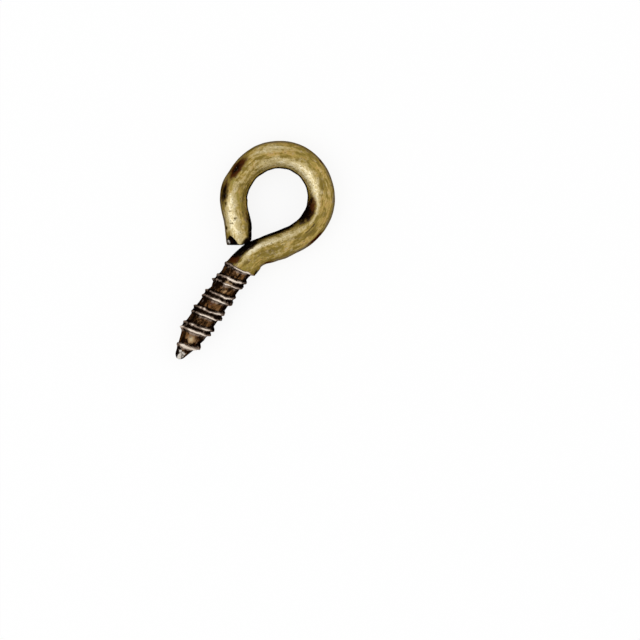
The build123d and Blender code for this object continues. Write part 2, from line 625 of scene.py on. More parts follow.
        lips = np.zeros_like(d)
        rim = np.zeros_like(d)
        half_width = self.lip_width * (1.0 + self.merged_wider * (1.0 - apart))
        for lip in Lip:
            offset, height = self.lip_line(turn, lip)
            risen = present * (ease(turn, *self.rising) if lip is Lip.LOWER else open_upper)
            bell = hump(d - offset, half_width)
            lips = np.maximum(lips, height * risen * bell)
            # A lip's brightness is wear with a painted glint, dimmed by painted shade on the shank's
            # sides.
            rubbed_and_highlit = np.maximum(bell, self.rubbing_and_glint.flank(d - offset, lip))
            rubbed_and_highlit = rubbed_and_highlit * self.rubbing_and_glint.crest(turn, phi, apart, lip)
            rim = np.maximum(rim, risen * rubbed_and_highlit * ease(height, 0.0, self.rubbing_and_glint.low))

        ridge = 1.0 - ease(np.abs(d), self.foot * narrow, (self.foot + self.seam_past) * narrow)
        below = ease(d, 0.5 * self.lip_offset, self.lip_offset)
        rolled = open_lower * below + open_upper * (1.0 - below)
        return {
            "radius": cone + (blank - self.core) * standing + lips - self.hollows(s, phi) * opened,
            "lip": rim,
            "valley": np.clip(opened * (1.0 - land * present), 0.0, 1.0),
            "seam": np.clip(ridge * rolled * present * (1.0 - self.seam_rubbed * rim), 0.0, 1.0),
        }


@dataclass
class ShearedEnd:
    """The wire's free end, sheared square, flattened against the leg and chipped by the shear.

    Over the wire's section, with o outwards and z up from its middle, the end lies at the
    smallest of three planes:

        s = length
        s = flat_start + flat_slope * o, where it lies against the leg
        s = chip_start - chip_slope * o - chip_lean * z, the broken outer upper corner

    Attributes:
        reach: Length of wire over which the skin's rows fall in with the end.
        edge: Roundness of its edge.
        softness: Roundness of the edges between the three planes.
        flat_start, flat_slope: The flat against the leg.
        chip_start, chip_slope, chip_lean: The chip.
        hollow: Depth, o, z and half width of the hollow that broke out of the chip.
        burr: Length, o, z and half width of the burr by which its outer rim stands out again.
        bared_s, bared_o: Values of s and o between which the burr's metal turns bare.
        bared_z: Middle and half height of the bare metal.
        broken: Millimetres past the chip's face at which the surface is wholly broken.
    """

    reach: float = 1.6
    edge: float = 0.07
    softness: float = 0.035
    flat_start: float = 29.56
    flat_slope: float = 0.5
    chip_start: float = 30.38
    chip_slope: float = 1.4
    chip_lean: float = 1.0
    hollow: tuple[float, float, float, float] = (0.20, 0.42, 0.55, 0.30)
    burr: tuple[float, float, float, float] = (0.16, 0.80, 0.42, 0.20)
    bared_s: tuple[float, float] = (28.85, 29.15)
    bared_o: tuple[float, float] = (0.52, 0.70)
    bared_z: tuple[float, float] = (0.3, 0.6)
    broken: float = 0.15

    def chip_face(self, o: np.ndarray, z: np.ndarray) -> np.ndarray:
        """s of the chip's plane."""
        return self.chip_start - self.chip_slope * o - self.chip_lean * z

    def face(self, length: float, o: np.ndarray, z: np.ndarray) -> np.ndarray:
        """Where the end lies: -k * ln(sum(exp(-plane / k))), less the hollow, with the burr.

        Args:
            length: Length of the whole wire.
            o: Millimetres outwards from the wire's middle.
            z: Millimetres upwards from it.

        Returns:
            s of the end, in millimetres.
        """
        planes = np.stack(
            [
                np.full(np.shape(o), length),
                self.flat_start + self.flat_slope * o,
                self.chip_face(o, z),
            ]
        )
        low = planes.min(0)
        soft = low - self.softness * np.log(np.exp(-(planes - low) / self.softness).sum(0))
        for sign, (height, across, up, half) in ((-1, self.hollow), (1, self.burr)):
            soft = soft + sign * height * hump(np.hypot(o - across, z - up), half)
        return soft

    def burred(self, s: np.ndarray, o: np.ndarray, z: np.ndarray) -> np.ndarray:
        """How bare the metal of the burr is, from 0 to 1."""
        middle, half = self.bared_z
        return ease(s, *self.bared_s) * ease(o, *self.bared_o) * hump(z - middle, half)

    def chipped(self, length: float, o: np.ndarray, z: np.ndarray) -> np.ndarray:
        """How far a place of the end is broken surface, from 0 to 1."""
        return ease(length - self.chip_face(o, z), 0.0, self.broken)


# ---------------------------------------------------------------------------------------
# Wear of the finish, with painted highlights, painted shade and a painted reflection
# ---------------------------------------------------------------------------------------


@dataclass
class WearAndPaintedLight:
    """Painted highlights, partly over brass that wore bright, dark places, and painted shade and
    reflection.

    Places round the wire are given as cos(phi), which is 1 on its outer side, 0 on top and
    underneath, and -1 on its inner side. So the underside wears much as the top does.

    Attributes:
        rubbed_and_highlit: s, middle, half width and strength of the painted highlight band,
            which lies partly where the brass wore bright.
        band_edge: Power of the distance by which that band falls off. 2 would be a bell.
        thread_highlights: s, middle, half length, half width and strength of painted
            highlights on the thread.
        cleared_or_lit: The same of more painted highlights on the eye beside that band, partly
            where it cleared.
        dark: The same of the places that are drawn black.
        rust: The same of the places that stayed reddish brown.
        eye: Millimetres back from the point between which the eye's own wear sets in.
        thread: Those between which the thread's does.
        inner: Strength of the black along the eye's inner side, which is painted shade and
            partly dark patina inside the bend, and the values of cos(phi) between which it sets in.
            valley_shade_outer, valley_shade_inner: The same of the painted shade on the valleys'
            flanks.
        valley_shade_turn: Share by which valley_shade_inner lightens again, and where.
        edge_reflection: The values of cos(phi) between which the painted greyish reflection of
            the outer side sets in.
        edge_reflection_dip: Share of that reflection that is lost at the very side, and where.
        edge_reflection_eye: Millimetres back from the point between which it sets in.
        drift: How far the underside's places lie towards the point of the top's, in millimetres.
        drift_under: Values of sin(phi) between which that sets in.
        drift_from, drift_to: Millimetres back from the point between which it sets in and ends.
    """

    rubbed_and_highlit: tuple[tuple[float, float, float, float], ...] = (
        (8.2, -0.22, 0.14, 0.35),
        (8.8, -0.30, 0.20, 0.90),
        (9.6, -0.40, 0.24, 1.35),
        (10.4, -0.46, 0.26, 0.90),
        (11.5, -0.44, 0.30, 0.80),
        (13.0, -0.32, 0.24, 0.70),
        (14.4, -0.10, 0.10, 0.65),
        (15.4, -0.14, 0.15, 0.85),
        (16.4, -0.38, 0.38, 0.98),
        (18.5, -0.46, 0.46, 1.00),
        (20.2, -0.52, 0.36, 0.80),
        (21.6, -0.50, 0.42, 0.58),
        (24.0, -0.20, 0.50, 0.30),
        (25.3, 0.00, 0.22, 0.60),
        (26.2, 0.16, 0.36, 1.02),
        (27.2, 0.30, 0.52, 0.97),
        (28.3, 0.32, 0.60, 0.97),
        (29.2, 0.00, 0.60, 0.80),
    )
    thread_highlights: tuple[tuple[float, float, float, float, float], ...] = (
        (0.34, 0.22, 0.36, 0.45, 0.60),
        (1.76, 0.14, 0.34, 0.36, 1.05),
        (3.05, -0.20, 0.25, 0.30, 0.25),
        (5.95, 0.12, 0.22, 0.30, 0.50),
        (6.48, 0.15, 0.20, 0.45, 0.85),
        (7.52, 0.25, 0.20, 0.30, 0.35),
    )
    cleared_or_lit: tuple[tuple[float, float, float, float, float], ...] = (
        (11.6, 0.40, 1.40, 0.50, 0.27),
        (16.9, 0.50, 1.80, 0.20, 0.25),
        (21.6, 0.45, 1.30, 0.28, 0.80),
        (21.8, -0.55, 1.60, 0.35, 0.55),
    )
    dark: tuple[tuple[float, float, float, float, float], ...] = (
        (14.5, -0.86, 1.15, 0.58, 1.08),
        (15.7, -0.72, 0.75, 0.26, 0.75),
        (24.0, 0.62, 0.80, 0.30, 0.80),
        (25.7, 0.70, 0.70, 0.30, 0.85),
        (9.1, -0.84, 1.10, 0.34, 1.3),
        (11.8, -1.00, 2.80, 0.26, 1.15),
        (28.6, -0.98, 1.30, 0.26, 1.2),
        (29.4, -0.66, 0.32, 0.46, 1.3),
        (28.2, 0.86, 0.28, 0.13, 0.70),
        (13.9, 0.14, 1.30, 0.08, 0.48),
        (11.2, -0.08, 0.80, 0.06, 0.35),
        (27.2, -0.58, 0.95, 0.24, 0.38),
        (26.9, 0.30, 0.08, 0.26, 0.46),
        (27.5, 0.10, 0.09, 0.20, 0.48),
        (27.8, 0.42, 0.08, 0.24, 0.42),
        (26.3, 0.60, 0.14, 0.14, 0.62),
        (0.02, 0.80, 0.20, 0.45, 1.2),
        (8.55, 1.00, 0.30, 0.16, 0.9),
        (0.50, -0.74, 0.70, 0.52, 1.4),
        (0.60, 0.95, 0.60, 0.22, 0.6),
    )
    rust: tuple[tuple[float, float, float, float, float], ...] = (
        (24.0, 0.57, 0.95, 0.34, 1.1),
        (25.5, 0.68, 1.00, 0.28, 0.6),
        (15.1, -0.62, 1.50, 0.42, 0.85),
        (8.15, -0.70, 0.40, 0.36, 1.1),
        (4.70, -0.15, 0.35, 0.35, 0.62),
        (2.00, 0.10, 0.60, 0.90, 0.5),
        (1.75, -0.84, 0.55, 0.30, 0.52),
        (1.55, 0.80, 0.35, 0.30, 0.50),
        (10.1, 0.92, 0.45, 0.12, 0.7),
        (13.6, 0.90, 0.70, 0.12, 0.9),
        (18.3, 0.90, 0.40, 0.12, 0.6),
        (12.0, -0.92, 1.60, 0.16, 0.7),
        (27.4, -0.76, 0.90, 0.18, 0.50),
    )
    band_edge: float = 2.6
    eye: tuple[float, float] = (8.2, 9.4)
    thread: tuple[float, float] = (8.3, 7.7)
    inner: tuple[float, float, float] = (0.85, -0.84, -0.97)
    valley_shade_outer: tuple[float, float, float] = (0.74, 0.52, 0.86)
    valley_shade_inner: tuple[float, float, float] = (0.80, -0.28, -0.62)
    valley_shade_turn: tuple[float, float, float] = (0.25, -0.62, -0.85)
    edge_reflection: tuple[float, float] = (0.70, 0.92)
    edge_reflection_dip: tuple[float, float, float] = (0.3, 0.95, 1.0)
    edge_reflection_eye: tuple[float, float] = (8.6, 9.4)
    drift: float = 1.9
    drift_under: tuple[float, float] = (0.1, -0.7)
    drift_from: tuple[float, float] = (9.5, 12.0)
    drift_to: tuple[float, float] = (27.5, 24.5)

    @staticmethod
    def spots(s: np.ndarray, side: np.ndarray, places: tuple[tuple[float, ...], ...]) -> np.ndarray:
        """The highest of bells: exp(-(along / half length) ** 2 - (across / half width) ** 2).

        Args:
            s: Millimetres back from the point.
            side: cos(phi).
            places: s, middle, half length, half width and strength of each.

        Returns:
            The mask, from 0 up to the greatest strength.
        """
        mask = np.zeros(np.broadcast(s, side).shape)
        for place, across, half_length, half_width, strength in places:
            reach = np.abs((s - place) / half_length) ** 2 + np.abs((side - across) / half_width) ** 2
            mask = np.maximum(mask, strength * np.exp(-reach))
        return mask

    def masks(self, s: np.ndarray, phi: np.ndarray) -> dict[str, np.ndarray]:
        """Where the painted highlights, the dark, the rust, the painted shade and the painted greyish
        reflection lie.

        Painted shade lies on the flanks of the thread's valleys, black that is painted shade and
        partly dark patina along the eye's inner side, and a painted greyish reflection along the
        eye's outer side.

        Args:
            s: Millimetres back from the point.
            phi: Angle round the wire.

        Returns:
            The masks by name. 0 is none of it, and what is over 1 outweighs the noises that
            break it up.
        """
        side = np.cos(phi)
        under = ease(np.sin(phi), *self.drift_under)
        s = s + self.drift * under * ease(s, *self.drift_from) * ease(s, *self.drift_to)
        # The band of painted highlight, which lies partly where the brass wore bright.
        middle, half, strength = (along(s, self.rubbed_and_highlit, i) for i in (1, 2, 3))
        band = strength * np.exp(-np.abs((side - middle) / half) ** self.band_edge)

        def sets_in(strength: float, start: float, end: float) -> np.ndarray:
            """A strength that sets in between two values of cos(phi)."""
            return strength * ease(side, start, end)

        # Black along the eye's inner side: painted shade, partly dark patina inside the bend.
        inner = sets_in(*self.inner) * ease(s, *self.eye)
        # Painted shade on the flanks of the thread's valleys.
        flank = sets_in(*self.valley_shade_inner) * (1.0 - sets_in(*self.valley_shade_turn))
        flank_shade = np.maximum(sets_in(*self.valley_shade_outer), flank) * ease(s, *self.thread)
        # A painted greyish reflection along the eye's outer side.
        edge_reflection = ease(side, *self.edge_reflection) * (1.0 - sets_in(*self.edge_reflection_dip)) * ease(s, *self.edge_reflection_eye)
        return {
            "rubbed_and_highlit": np.maximum(band, self.spots(s, side, self.cleared_or_lit)),
            "thread_highlights": self.spots(s, side, self.thread_highlights),
            "dark": np.maximum.reduce([self.spots(s, side, self.dark), inner, flank_shade]),
            "rust": self.spots(s, side, self.rust),
            "grey_reflection": edge_reflection,
        }


# ---------------------------------------------------------------------------------------
# Materials
# ---------------------------------------------------------------------------------------


def linear(colour: str) -> tuple[float, float, float, float]:
    """An sRGB hex colour as linear red, green, blue and full alpha.

    Args:
        colour: Six hex digits after a #.

    Returns:
        The linear colour.
    """
    parts = np.array([int(colour[i : i + 2], 16) / 255 for i in (1, 3, 5)])
    values = np.where(parts <= 0.04045, parts / 12.92, ((parts + 0.055) / 1.055) ** 2.4)
    return (*values.tolist(), 1.0)


def add(
    tree: bpy.types.NodeTree, kind: str, settings: dict | None = None, links: dict | None = None
) -> bpy.types.Node:
    """Adds one node, with its settings and what it is fed by.

    Args:
        tree: The node tree.
        kind: The node's type name in Blender.
        settings: Properties by name, and input values by name or number.
        links: Output sockets by the input's name or number.

    Returns:
        The node.
    """
    node = tree.nodes.new(kind)
    for name, value in (settings or {}).items():
        if isinstance(name, int) or name in node.inputs:
            node.inputs[name].default_value = value
        else:
            setattr(node, name, value)
    for name, output in (links or {}).items():
        tree.links.new(output, node.inputs[name])
    return node


@dataclass(frozen=True)
class Grain:
    """A noise in the wire's skin.

    Attributes:
        length: Length of its grain along the wire, in millimetres.
        width: Width of its grain round the wire.
        detail: How many finer noises lie on it, and roughness: how strong they are.
    """

    length: float
    width: float
    detail: float
    roughness: float


@dataclass(frozen=True)
class Step:
    """A step from 0 to 1 over a weighted sum of masks and noises.

    Attributes:
        weights: The weight of each mask or noise by name. The first one's is 1.
        low: The sum at which the step leaves 0.
        high: The sum at which it reaches 1. It may be the smaller of the two.
        kind: How it goes from one to the other, as Blender names it.
    """

    weights: dict[str, float]
    low: float
    high: float
    kind: str = "SMOOTHSTEP"


@dataclass(frozen=True)
class Blend:
    """A colour that goes over into another.

    Attributes:
        first: The hex colour at 0 of the step.
        second: The one at 1.
        where: The step.
    """

    first: str
    second: str
    where: Step


@dataclass(frozen=True)
class Layer:
    """A layer of the finish.

    Attributes:
        colour: A hex colour or a blend of two.
        where: The step by which it covers what is under it.
        within: A second step, by which the first is multiplied.
    """

    colour: str | Blend
    where: Step
    within: Step | None = None


class SkinNodes:
    """Nodes that make colours from the masks and noises of the wire's skin.

    Attributes:
        tree: The material's node tree.
        values: The masks and noises by name.
    """

    def __init__(self, tree: bpy.types.NodeTree, masks: tuple[str, ...], grains: dict[str, Grain]) -> None:
        """Adds the masks and the noises, which lie on the wire as if it was unbent.

        Args:
            tree: The material's node tree, empty.
            masks: Names of the skin's masks.
            grains: The noises by name.
        """
        self.tree = tree
        wire = add(tree, "ShaderNodeAttribute", {"attribute_name": "unbent"}).outputs["Vector"]
        self.values = {}
        for name in masks:
            mask = add(tree, "ShaderNodeAttribute", {"attribute_name": name})
            self.values[name] = mask.outputs["Fac"]
        for name, grain in grains.items():
            per_mm = (1 / grain.length, 1 / grain.width, 1 / grain.width)
            scaled = add(tree, "ShaderNodeVectorMath", {"operation": "MULTIPLY", 1: per_mm}, {0: wire})
            settings = {"Scale": 1.0, "Detail": grain.detail, "Roughness": grain.roughness}
            noise = add(tree, "ShaderNodeTexNoise", settings, {"Vector": scaled.outputs[0]})
            self.values[name] = noise.outputs["Fac"]

    def math(
        self, operation: str, a: bpy.types.NodeSocket, b: bpy.types.NodeSocket
    ) -> bpy.types.NodeSocket:
        """One sum of two values, by Blender's name for it."""
        return add(self.tree, "ShaderNodeMath", {"operation": operation}, {0: a, 1: b}).outputs[0]

    def total(self, weights: dict[str, float]) -> bpy.types.NodeSocket:
        """The first of the masks and noises, and the others times their weights."""
        first, *others = weights.items()
        total = self.values[first[0]]
        for name, weight in others:
            settings = {"operation": "MULTIPLY_ADD", 1: weight}
            total = add(self.tree, "ShaderNodeMath", settings, {0: self.values[name], 2: total}).outputs[0]
        return total

    def step(self, step: Step) -> bpy.types.NodeSocket:
        """The step over its sum."""
        settings = {"interpolation_type": step.kind, "From Min": step.low, "From Max": step.high}
        total = self.total(step.weights)
        return add(self.tree, "ShaderNodeMapRange", settings, {"Value": total}).outputs["Result"]

    def mixed(
        self,
        factor: bpy.types.NodeSocket,
        first: bpy.types.NodeSocket | str,
        second: bpy.types.NodeSocket | Blend | str,
    ) -> bpy.types.NodeSocket:
        """A mix of two colours.

        Args:
            factor: 0 for the first colour, 1 for the second.
            first: The first colour, as a socket or in hex.
            second: The second one. It may be a blend as well.

        Returns:
            The mixed colour.
        """
        if isinstance(second, Blend):
            second = self.mixed(self.step(second.where), second.first, second.second)
        node = add(self.tree, "ShaderNodeMix", {"data_type": "RGBA"}, {0: factor})
        for socket, colour in ((node.inputs[6], first), (node.inputs[7], second)):
            if isinstance(colour, str):
                socket.default_value = linear(colour)
            else:
                self.tree.links.new(colour, socket)
        return node.outputs[2]

    def covered(self, skin: bpy.types.NodeSocket | str, layer: Layer) -> bpy.types.NodeSocket:
        """The skin's colour with one more layer on it."""
        factor = self.step(layer.where)
        if layer.within is not None:
            factor = self.math("MULTIPLY", factor, self.step(layer.within))
        return self.mixed(factor, skin, layer.colour)


@dataclass(frozen=True)
class AntiqueBrass:
    """Drawn brass wire, blackened in a bath and then tumbled so that the high places clear.

    The eye sees an olive gold metal with a satin sheen, pale under painted highlights that lie
    partly where it wears, brown to black in dark patches and painted shade, and streaks along
    the wire left by the drawing die.

    Attributes:
        olive, gold, ochre, green, shadow: Shades of the half-cleared brass.
        cream: Painted highlight, partly over brass polished by wear, and chalk: its palest streaks.
        black: The dark bath, which also paints shade, and rust: its reddish brown where it is thin.
        grey_reflection: The painted greyish reflection along the eye's outer side.
        root, root_light: The thread's valleys, and tan: the painted highlights on them.
        lip, lip_dim: The thread's lips, bright and half bright: wear with a painted glint.
        burr: Bare metal of the burr and of the flat worn on the point.
        edge: Tint of what the metal mirrors at a glancing angle.
        masks: The skin's masks.
        streaks: What the drawing die left along the wire.
        clouds, patches: Where the bath took unevenly, in small and in large.
        mottles: Where the tumbling cleared it, and specks: the pits that it left.
        pit_depth: Depth of the pits, in millimetres.
        satin, dull: Roughness of the clear and of the dark metal.
    """

    olive: str = "#7E6B2F"
    gold: str = "#B99F58"
    ochre: str = "#B28E54"
    green: str = "#8A7B3A"
    shadow: str = "#66552B"
    cream: str = "#BDAB7A"
    chalk: str = "#E8DCB8"
    black: str = "#120904"
    rust: str = "#45230D"
    grey_reflection: str = "#6D6556"
    root: str = "#190D06"
    root_light: str = "#7A5632"
    tan: str = "#B4946C"
    lip: str = "#E6D8C8"
    lip_dim: str = "#8C7A6C"
    burr: str = "#D4CEC4"
    edge: str = "#8A8486"
    masks: tuple[str, ...] = (
        "rubbed_and_highlit", "thread_highlights", "dark", "rust", "grey_reflection", "lip", "valley", "seam", "chip", "burr"
    )
    streaks: Grain = Grain(1.0, 0.15, 4.0, 0.62)
    clouds: Grain = Grain(1.1, 0.45, 3.0, 0.55)
    patches: Grain = Grain(2.2, 0.9, 2.0, 0.5)
    mottles: Grain = Grain(0.32, 0.23, 4.0, 0.62)
    specks: Grain = Grain(0.10, 0.10, 2.0, 0.6)
    pit_depth: float = 0.016
    satin: float = 0.42
    dull: float = 0.55

    @property
    def blackened_or_shaded(self) -> Step:
        """Where black covers the metal: dark patches, and painted shade along the eye's inner side and on
        the valleys' flanks.
        """
        return Step({"dark": 1.0, "mottles": 0.9, "streaks": 0.7}, 1.2, 1.6)

    def layers(self) -> tuple[Layer, ...]:
        """The finish on the olive metal, with its painted highlights, glints, reflection and shade, each
        layer over the ones before.
        """
        brass = {"streaks": 1.0, "clouds": 0.7, "mottles": 1.0}
        highlit_or_worn = {"rubbed_and_highlit": 1.0, "mottles": 2.2, "streaks": 1.0}
        edge_reflection = {"grey_reflection": 1.0, "mottles": 1.4, "clouds": 1.6, "streaks": 1.6}
        grain = {"mottles": 1.0, "clouds": 0.8, "streaks": 0.3}
        gleam = {"thread_highlights": 1.0, "mottles": 1.5}
        lips = {"lip": 1.0, "mottles": 1.1}
        valley = Blend(self.root, self.root_light, Step(grain, 0.91, 1.21))
        tar = Blend(self.black, self.root, Step({"mottles": 1.0}, 0.45, 0.66))
        return (
            # Gold, ochre, green and dark shades of the brass, as the bath took unevenly.
            Layer(self.gold, Step(brass, 1.17, 1.53)),
            Layer(self.ochre, Step({"clouds": 1.0}, 0.48, 0.66), Step({"mottles": 1.0}, 0.38, 0.60)),
            Layer(self.green, Step({"patches": 1.0}, 0.52, 0.68), Step({"streaks": 1.0}, 0.35, 0.60)),
            Layer(self.shadow, Step({"clouds": 1.0}, 0.54, 0.34), Step({"mottles": 1.0}, 0.42, 0.62)),
            # The painted highlight band, partly where hands and tumbling polished the brass pale, with
            # chalky streaks in it.
            Layer(self.cream, Step(highlit_or_worn, 1.7, 2.3)),
            Layer(self.chalk, Step(highlit_or_worn, 2.25, 2.85)),
            # Dark that stayed in the pits.
            Layer(self.shadow, Step({"specks": 1.0}, 0.56, 0.66), Step({"mottles": 1.0}, 0.44, 0.60)),
            # A painted greyish reflection on the outer side, and the brown edge of the dark places.
            Layer(self.grey_reflection, Step(edge_reflection, 2.65, 3.75)),
            Layer(self.shadow, Step(self.blackened_or_shaded.weights, 1.0, 1.3)),
            # The thread's valleys, brown where they half cleared, and tar in its seam.
            Layer(valley, Step({"valley": 1.0}, 0.1, 0.7)),
            Layer(tar, Step({"seam": 1.0, "mottles": 0.5}, 0.4, 0.9)),
            # Painted highlights on the thread, tan and then pale.
            Layer(self.tan, Step(gleam, 0.95, 1.5)),
            Layer(self.chalk, Step(gleam, 1.45, 2.0)),
            # Reddish brown round the black, and the black itself: dark patches, and painted shade along
            # the eye's inner side and on the valleys' flanks.
            Layer(self.rust, Step({"rust": 1.0, "mottles": 0.9}, 0.7, 1.2)),
            Layer(self.black, self.blackened_or_shaded),
            # The lips stand proud and clear most, and their brightness is a painted glint as well, dimmed
            # by painted shade on the shank's sides.
            Layer(self.lip_dim, Step(lips, 0.64, 0.95)),
            Layer(self.lip, Step(lips, 0.98, 1.31)),
            # The broken surface of the sheared end is dark, and the burr and the flat are bare.
            Layer(tar, Step({"chip": 1.0}, 0.0, 1.0, "LINEAR")),
            Layer(self.burr, Step({"burr": 1.0, "mottles": 1.6}, 1.45, 1.85)),
        )

    def material(self) -> bpy.types.Material:
        """Builds the metal: its layers of colour, its pits, and a sheen that the dark dulls.

        Returns:
            The material.
        """
        metal = bpy.data.materials.new("antique_brass_wire")
        metal.use_nodes = True
        tree = metal.node_tree
        tree.nodes.clear()
        grains = {
            "streaks": self.streaks,
            "clouds": self.clouds,
            "patches": self.patches,
            "mottles": self.mottles,
            "specks": self.specks,
        }
        nodes = SkinNodes(tree, self.masks, grains)

        skin = self.olive
        for layer in self.layers():
            skin = nodes.covered(skin, layer)
        bump = add(
            tree,
            "ShaderNodeBump",
            {"Strength": 1.0, "Distance": self.pit_depth * MM},
            {"Height": nodes.total({"specks": 1.0, "mottles": 1.2, "streaks": 1.0})},
        )
        dulled = nodes.math("MAXIMUM", nodes.step(self.blackened_or_shaded), nodes.values["valley"])
        roughness = add(
            tree, "ShaderNodeMapRange", {"To Min": self.satin, "To Max": self.dull}, {"Value": dulled}
        )
        shader = add(
            tree,
            "ShaderNodeBsdfPrincipled",
            {"Metallic": 1.0, "Specular Tint": linear(self.edge)},
            {
                "Base Color": skin,
                "Roughness": roughness.outputs["Result"],
                "Normal": bump.outputs["Normal"],
            },
        )
        add(tree, "ShaderNodeOutputMaterial", {}, {"Surface": shader.outputs["BSDF"]})
        return metal


# ---------------------------------------------------------------------------------------
# The screw eye
# ---------------------------------------------------------------------------------------


@dataclass
class ScrewEye:
    """The whole wire as one closed skin.

    Attributes:
        path, girth, thread, point, end, wear_and_light: The wire's parts, and its wear with painted light.
        columns: Faces round the wire.
        thread_step: Millimetres between the rows of the threaded part.
        wire_step: Millimetres between the rows of the rest.
        threaded: Length of wire with the fine rows.
        nose_rows: Rows round the point's blunt end.
        end_rows: Rows by which the skin falls in with the sheared end.
        edge_rows: Rows round the end's edge.
        face_rows: Rows from there to its middle.
    """

    path: WirePath
    girth: WireGirth
    thread: RolledThread
    point: GimletPoint
    end: ShearedEnd
    wear_and_light: WearAndPaintedLight
    columns: int = 132
    thread_step: float = 0.02
    wire_step: float = 0.09
    threaded: float = 8.7
    nose_rows: int = 11
    end_rows: int = 40
    edge_rows: int = 6
    face_rows: int = 15

    def rows(self) -> tuple[np.ndarray, np.ndarray]:
        """Places of the skin's rows.

        Returns:
            s of each row, and the share of the radius at which it lies, which is 1 but on
            the end's edge and face, where it falls to nothing.
        """
        length, edge = self.path.length, self.end.edge
        turn = np.linspace(0.0, math.pi / 2, self.nose_rows + 2)[1:-1]
        nose = self.point.round_over * (1.0 - np.cos(turn))
        fine = np.arange(self.point.round_over, self.threaded, self.thread_step)
        near_end = length - self.end.reach
        count = math.ceil((near_end - self.threaded) / self.wire_step)
        coarse = np.linspace(self.threaded, near_end, count, endpoint=False)
        last = np.linspace(near_end, length - edge, self.end_rows, endpoint=False)
        turn = np.linspace(0.0, math.pi / 2, self.edge_rows)
        rounded = length - edge * (1.0 - np.sin(turn))
        face_share = np.linspace(1.0 - edge, 0.0, self.face_rows + 2)[1:-1]
        s = np.concatenate([nose, fine, coarse, last, rounded, np.full(len(face_share), length)])
        share = np.ones_like(s)
        share[-len(face_share) - len(turn) :] = np.concatenate(
            [1.0 - edge * (1.0 - np.cos(turn)), face_share]
        )
        return s, share

    def skin(self) -> tuple[np.ndarray, dict[str, np.ndarray]]:
        """The skin's points on the grid of rows and columns, and what each place is part of.

        The point is centre(s) + side(s) * (shift + r * cos(phi)) + up * r * sin(phi), with r
        that of the thread and the point in the shank, and of the oval wire elsewhere. Near
        the end, s - (length - end) * ease(s) takes the place of s. Nothing is lower than the
        surface that the part lies on.

        Returns:
            The points in millimetres as rows x columns x 3, and the masks by name.
        """
        rows, share = (values[:, None] for values in self.rows())
        phi = (np.arange(self.columns) * FULL_TURN / self.columns)[None, :]
        s = rows + 0 * phi
        blank, shift = self.girth.skin(s, phi)
        relief = self.thread.relief(s, phi, blank, self.point.radius(s, self.thread.core))
        radius = self.point.flatten(relief.pop("radius"), s, phi)
        radius = (radius + self.girth.unevenness(s, phi) * ease(s, 0.0, 1.0)) * share
        across, height = radius * np.cos(phi), radius * np.sin(phi)

        length = self.path.length
        fall = length - self.end.face(length, across, height)
        place_s = s - fall * ease(s, length - self.end.reach, length)
        place = self.path.place(place_s, shift + across, height)
        place[..., 2] = np.maximum(place[..., 2], 0.0)

        near = ease(s, length - 0.5 * self.end.reach, length - self.end.edge)
        broken = self.end.chipped(length, across, height) * ease(share, 1.0, 1.0 - self.end.edge)
        plain = ease(share, 1.0 - self.end.edge, 1.0 - 3 * self.end.edge)
        masks = {**self.wear_and_light.masks(s, phi), **relief, "chip": near * np.maximum(broken, plain)}
        burred = near * self.end.burred(place_s, across, height)
        masks["burr"] = np.maximum(burred, self.point.bared(s, phi))
        masks["unbent"] = np.stack([place_s, across, height], axis=-1)
        return place, masks

    def faces(self, count: int) -> tuple[np.ndarray, np.ndarray]:
        """The grid's faces, closed by a fan at the point and one in the end.

        Args:
            count: How many rows the grid has.

        Returns:
            Corners of the four-sided faces and of the triangles. The fans' middles come after
            the grid's points.
        """
        columns = self.columns
        row, column = np.meshgrid(np.arange(count - 1), np.arange(columns), indexing="ij")
        here, there = row * columns, (row + 1) * columns
        after = (column + 1) % columns
        quads = np.stack([here + column, there + column, there + after, here + after], axis=-1)
        ring = np.arange(columns)
        onward = (ring + 1) % columns
        last = (count - 1) * columns
        tip, middle = np.full(columns, count * columns), np.full(columns, count * columns + 1)
        fans = np.concatenate(
            [
                np.stack([tip, ring, onward], axis=-1),
                np.stack([middle, last + onward, last + ring], axis=-1),
            ]
        )
        return quads.reshape(-1, 4), fans

    @staticmethod
    def keep_mask(mesh: bpy.types.Mesh, name: str, values: np.ndarray) -> None:
        """Keeps a mask with the mesh. The fans' middles get the mean of the row round them.

        Args:
            mesh: The wire's mesh.
            name: The mask's name.
            values: Its values on the grid, one number or three for each place.
        """
        kind, field = ("FLOAT_VECTOR", "vector") if values.ndim == 3 else ("FLOAT", "value")
        ends = np.stack([values[0].mean(0), values[-1].mean(0)])
        flat = np.concatenate([values.reshape(-1, *values.shape[2:]), ends])
        made = mesh.attributes.new(name, kind, "POINT")
        made.data.foreach_set(field, flat.astype(np.float32).ravel())

    def build(self, metal: bpy.types.Material) -> bpy.types.Object:
        """Makes the mesh and dresses it.

        Args:
            metal: The wire's finish.

        Returns:
            The piece, riding on its body.
        """
        place, masks = self.skin()
        nothing = np.zeros(1)
        tip = self.path.place(nothing, nothing, nothing)
        middle = self.path.place(self.end.face(self.path.length, nothing, nothing), nothing, nothing)
        points = np.concatenate([place.reshape(-1, 3), tip, middle]) * MM
        quads, fans = self.faces(len(place))

